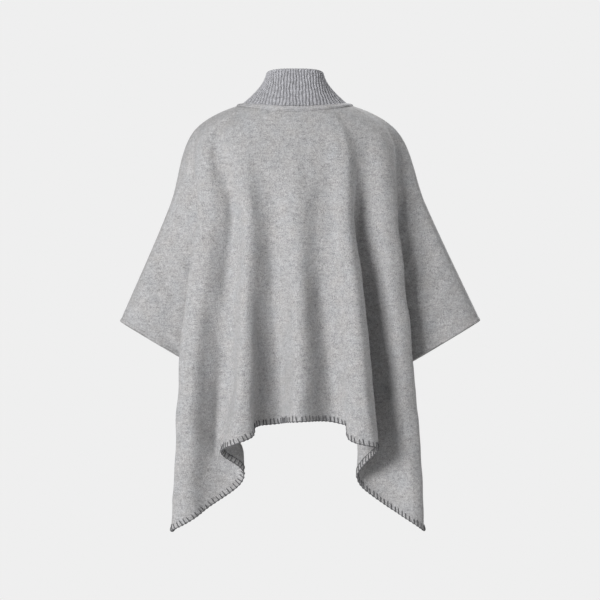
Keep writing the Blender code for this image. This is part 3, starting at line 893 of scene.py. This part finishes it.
def build_collar():
    """Rib-knit tube folded double.  The outside is raised by a cosine with a narrow groove where it
    is lowest, once for each rib, and rolls over the top on a half circle to a plainer inside.
    """
    columns = RIBS * COLLAR_COLUMNS_PER_RIB
    share, height = np.meshgrid(np.arange(columns) / columns, np.linspace(0, 1, COLLAR_ROWS + 1))
    middle = collar_middle(share, height)
    up = unit(np.gradient(middle, axis=0))
    out = unit(np.cross(np.roll(middle, -1, axis=1) - np.roll(middle, 1, axis=1), up))
    middle[0] += up[0] * COLLAR_LIFT

    wander = sum(amount * np.sin(2 * np.pi * (round_turns * share + up_turns * height) + phase)
                 for amount, round_turns, up_turns, phase in RIB_WANDER)
    crest = (1 + np.cos(2 * np.pi * (RIBS * share + wander))) / 2
    rim = np.clip((height - 1 + RIB_CALM_HEIGHT) / RIB_CALM_HEIGHT, 0, 1)
    relief = 1 - RIB_CALM * rim ** 2
    rib = relief * (RIB_RELIEF * (crest ** 0.5 - 0.5) - RIB_GROOVE * (1 - crest) ** 3)
    rib = rib[..., None]

    outer = middle + out * (COLLAR_WALL / 2 + rib)
    inner = middle - out * (COLLAR_WALL / 2 + rib * RIB_INSIDE)
    bend = np.linspace(0, np.pi, COLLAR_ROLL_STEPS + 2)[1:-1, None, None]
    fade = (np.cos(bend) + 1) / 2
    reach = COLLAR_WALL / 2 + rib[-1] * (RIB_INSIDE + (1 - RIB_INSIDE) * fade)
    roll = middle[-1] + up[-1] * np.sin(bend) * reach + out[-1] * np.cos(bend) * reach
    points = np.concatenate([outer, roll, inner[::-COLLAR_INSIDE_STEP]])
    u = RIBS * share + wander
    u = np.concatenate([u, u[[-1] * COLLAR_ROLL_STEPS], u[::-COLLAR_INSIDE_STEP]])
    v = lengths(points[:, 0])[:, None]
    uv = np.stack(np.broadcast_arrays(u, v), axis=-1)
    return make_object("funnel_collar", points, ring_faces(points), uv, RIBS)


def build_floor():
    """Square floor of pale paper, well below the hem."""
    reach = np.linspace(-FLOOR_REACH, FLOOR_REACH, 9)
    x, y = np.meshgrid(reach, reach, indexing="ij")
    points = np.stack([x, y, np.full(x.shape, FLOOR_Z)], axis=-1)
    return make_object("floor", points, grid_faces(np.ones(x.shape, dtype=bool)))


class Nodes:
    """Short way to add and link the nodes of one material or world."""

    def __init__(self, owner):
        owner.use_nodes = True
        self.owner, self.tree = owner, owner.node_tree
        self.shader = self.tree.nodes.get("Principled BSDF")

    def add(self, kind, inputs=(), **settings):
        """New node with its inputs set or linked."""
        node = self.tree.nodes.new(kind)
        for key, value in settings.items():
            setattr(node, key, value)
        for key, value in dict(inputs).items():
            self.set(node, key, value)
        return node

    def set(self, node, key, value):
        """Links an output to a socket, or sets a plain value on it."""
        if hasattr(value, "is_output"):
            self.tree.links.new(value, node.inputs[key])
        else:
            node.inputs[key].default_value = value

    def math(self, operation, *values):
        """Output of a math node."""
        return self.add("ShaderNodeMath", enumerate(values), operation=operation).outputs[0]

    def scaled(self, colour, factor):
        """A colour times a number."""
        node = self.add("ShaderNodeVectorMath", {0: colour, 3: factor}, operation="SCALE")
        return node.outputs[0]

    def place(self):
        """Place of a point on the piece, in metres."""
        return self.add("ShaderNodeTexCoord").outputs["Object"]

    def surface(self, colour, roughness, specular=0.5, sheen=0.0, sheen_roughness=0.5):
        """Colour, dullness and nap of the shader."""
        for key, value in (("Base Color", colour), ("Roughness", roughness),
                           ("Specular IOR Level", specular), ("Sheen Weight", sheen),
                           ("Sheen Roughness", sheen_roughness)):
            self.set(self.shader, key, value)

    def bump(self, height, strength, distance):
        """Fine relief of the shader."""
        node = self.add("ShaderNodeBump", {"Height": height, "Strength": strength,
                                           "Distance": distance})
        self.set(self.shader, "Normal", node.outputs[0])


def noise(nodes, vector, scale, detail=2.0, roughness=0.5):
    """Noise between about 0 and 1, of so many cells a metre."""
    node = nodes.add("ShaderNodeTexNoise", {"Vector": vector, "Scale": scale, "Detail": detail,
                                            "Roughness": roughness})
    return node.outputs["Fac"]


def wool_colour(nodes, vector, colour, fibres=0.0, clumps=0.0, clouds=0.0, streaks=0.0, tint=0.0):
    """Heathered wool: a base colour made lighter and darker by fibres, clumps of them, clouds and
    level streaks, and a little warmer and cooler by a tint.
    """
    flat = nodes.add("ShaderNodeMapping", {"Vector": vector, "Scale": STREAK_STRETCH}).outputs[0]
    factor = 1.0
    for place, scale, amount in ((vector, FIBRE_SCALE, fibres), (vector, CLUMP_SCALE, clumps),
                                 (vector, CLOUD_SCALE, clouds), (flat, STREAK_SCALE, streaks)):
        if amount:
            speckle = nodes.math("SUBTRACT", noise(nodes, place, scale), 0.5)
            factor = nodes.math("ADD", nodes.math("MULTIPLY", speckle, amount), factor)
    plain = nodes.scaled(colour, factor)
    if not tint:
        return plain
    warmth = nodes.math("SUBTRACT", noise(nodes, vector, TINT_SCALE, detail=1), 0.5)
    shift = nodes.math("MULTIPLY", warmth, tint)
    warm, cool = nodes.math("ADD", shift, 1.0), nodes.math("SUBTRACT", 1.0, shift)
    both = nodes.add("ShaderNodeCombineXYZ", {0: warm, 1: 1.0, 2: cool}).outputs[0]
    return nodes.add("ShaderNodeVectorMath", {0: plain, 1: both}, operation="MULTIPLY").outputs[0]


def felt_material(name, colour):
    """Felted wool: heathered and matt, with a fine grain and a soft sheen from its nap."""
    nodes = Nodes(bpy.data.materials.new(name))
    place = nodes.place()
    wool = wool_colour(nodes, place, colour, fibres=1.5, clumps=0.6, clouds=0.16, streaks=0.45,
                       tint=0.05)
    nodes.surface(wool, roughness=0.95, specular=0.2, sheen=0.25, sheen_roughness=0.6)
    grain = nodes.math("ADD", noise(nodes, place, GRAIN_SCALE, detail=3, roughness=0.6),
                       noise(nodes, place, NAP_SCALE))
    nodes.bump(grain, strength=0.6, distance=1.2 * MM)
    return nodes.owner


def rib_material():
    """Rib knit: heathered yarn with painted shade between ribs and slanted loops up each rib."""
    nodes = Nodes(bpy.data.materials.new("rib_knit"))
    place = nodes.add("ShaderNodeUVMap", uv_map="cut").outputs[0]
    in_metres = nodes.add("ShaderNodeMapping", {"Vector": place, "Scale": RIB_MAP_SCALE}).outputs[0]
    ribs, up = nodes.add("ShaderNodeSeparateXYZ", {0: place}).outputs[:2]
    off = nodes.math("SUBTRACT", nodes.math("FRACT", nodes.math("ADD", ribs, 0.5)), 0.5)
    side = nodes.math("ABSOLUTE", off)
    # Painted shade: the colour darkens towards the middle of each groove between the ribs
    hollow = nodes.math("POWER", nodes.math("MULTIPLY", side, 2.0), 3.0)
    shade = nodes.math("SUBTRACT", 1.0, nodes.math("MULTIPLY", hollow, PAINTED_GROOVE_SHADE))
    wool = wool_colour(nodes, in_metres, RIB_KNIT, fibres=2.0, clumps=1.0, clouds=0.1)
    nodes.surface(nodes.scaled(wool, shade), roughness=0.95, specular=0.2, sheen=0.45,
                  sheen_roughness=0.6)
    rows = nodes.math("ADD", nodes.math("DIVIDE", up, LOOP_LENGTH),
                      nodes.math("MULTIPLY", side, LOOP_SLANT))
    loops = nodes.math("SINE", nodes.math("MULTIPLY", rows, 2 * np.pi))
    uneven = nodes.math("MULTIPLY", noise(nodes, in_metres, LOOP_SCALE, roughness=0.6),
                        LOOP_UNEVENNESS)
    nodes.bump(nodes.math("ADD", loops, uneven), strength=0.7, distance=0.7 * MM)
    return nodes.owner


def plain_material(name, colour, speckle, **surface):
    """Yarn, thread or paper: one colour, speckled by fibres, clumps and clouds, with no relief."""
    nodes = Nodes(bpy.data.materials.new(name))
    nodes.surface(wool_colour(nodes, nodes.place(), colour, *speckle), **surface)
    return nodes.owner


def put_on(thing, material, replaced=()):
    """Gives a piece its material and its body, and hides the parts that it replaces."""
    thing.data.materials.append(material)
    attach(thing, "root")
    if replaced:
        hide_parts(*replaced)


def area_light(name, turn, rise, distance, size, power):
    """Square light aimed at the garment's middle."""
    data = bpy.data.lights.new(name, "AREA")
    data.shape = "SQUARE"
    data.size = size
    data.energy = power
    thing = bpy.data.objects.new(name, data)
    scene.collection.objects.link(thing)
    turn, rise = np.radians((turn, rise))
    away = Vector((np.sin(turn) * np.cos(rise), -np.cos(turn) * np.cos(rise), np.sin(rise)))
    thing.location = Vector(LIT_POINT) + away * distance
    thing.rotation_euler = (-away).to_track_quat("-Z", "Y").to_euler()


def pale_room():
    """World that is pale to the eye, and gives little light of its own."""
    nodes = Nodes(bpy.data.worlds.new("studio"))
    seen = nodes.add("ShaderNodeLightPath").outputs["Is Camera Ray"]
    strength = nodes.add("ShaderNodeMapRange", {"Value": seen, "To Min": ROOM_LIGHT,
                                                "To Max": ROOM_SEEN}).outputs[0]
    nodes.set(nodes.tree.nodes["Background"], "Color", (1, 1, 1, 1))
    nodes.set(nodes.tree.nodes["Background"], "Strength", strength)
    return nodes.owner


def add_camera():
    """Camera that looks level at the back."""
    data = bpy.data.cameras.new("camera")
    data.sensor_width = CAMERA_SENSOR
    data.lens = CAMERA_SENSOR * -CAMERA_PLACE[1] / CAMERA_VIEW
    camera = bpy.data.objects.new("camera", data)
    camera.location = CAMERA_PLACE
    camera.rotation_euler = (np.pi / 2, 0, 0)
    scene.collection.objects.link(camera)
    return camera


# The neck strip's felt is the same wool, painted lighter to offset the shade on the band
felt, strip_felt_painted_lighter = felt_material("felted_wool", FELT), felt_material("felted_strip_painted_lighter", FELT_PAINTED_LIGHTER)
rib_knit = rib_material()
yarn = plain_material("stitch_yarn", STITCH_YARN, (0.6, 0.3, 0.2), roughness=0.95, specular=0.2,
                      sheen=0.15)
thread = plain_material("sewing_thread", SEWING_THREAD, (0.3, 0.0, 0.1), roughness=0.8)
paper = plain_material("floor_paper", FLOOR_PAPER, (0.0, 0.03, 0.0), roughness=0.9, specular=0.2)

back, back_cloth = build_cloth("back_cloth", BACK_FOLDS, -1)
front, front_cloth = build_cloth("front_cloth", FRONT_FOLDS, 1)
put_on(back, felt, ["back"])
put_on(front, felt, ["front"])

band, neck_lines = build_neck_band(back_cloth, front_cloth)
put_on(band, strip_felt_painted_lighter, ["neck_band"])

collar = build_collar()
put_on(collar, rib_knit, ["collar"])

back_stitch = build_blanket_stitch("back_blanket_stitch", back_cloth)
front_stitch = build_blanket_stitch("front_blanket_stitch", front_cloth)
put_on(back_stitch, yarn)
put_on(front_stitch, yarn)

neck_topstitch = build_dashes("neck_topstitch", *neck_stitches(*neck_lines))
cuff_topstitch = build_dashes("cuff_topstitch", *cuff_stitches((back_cloth, front_cloth)))
put_on(neck_topstitch, thread)
put_on(cuff_topstitch, thread)

floor = build_floor()
floor.data.materials.append(paper)

for name, light in LIGHTS.items():
    area_light(name, *light)
scene.world = pale_room()
scene.camera = add_camera()
scene.view_settings.view_transform = "Standard"
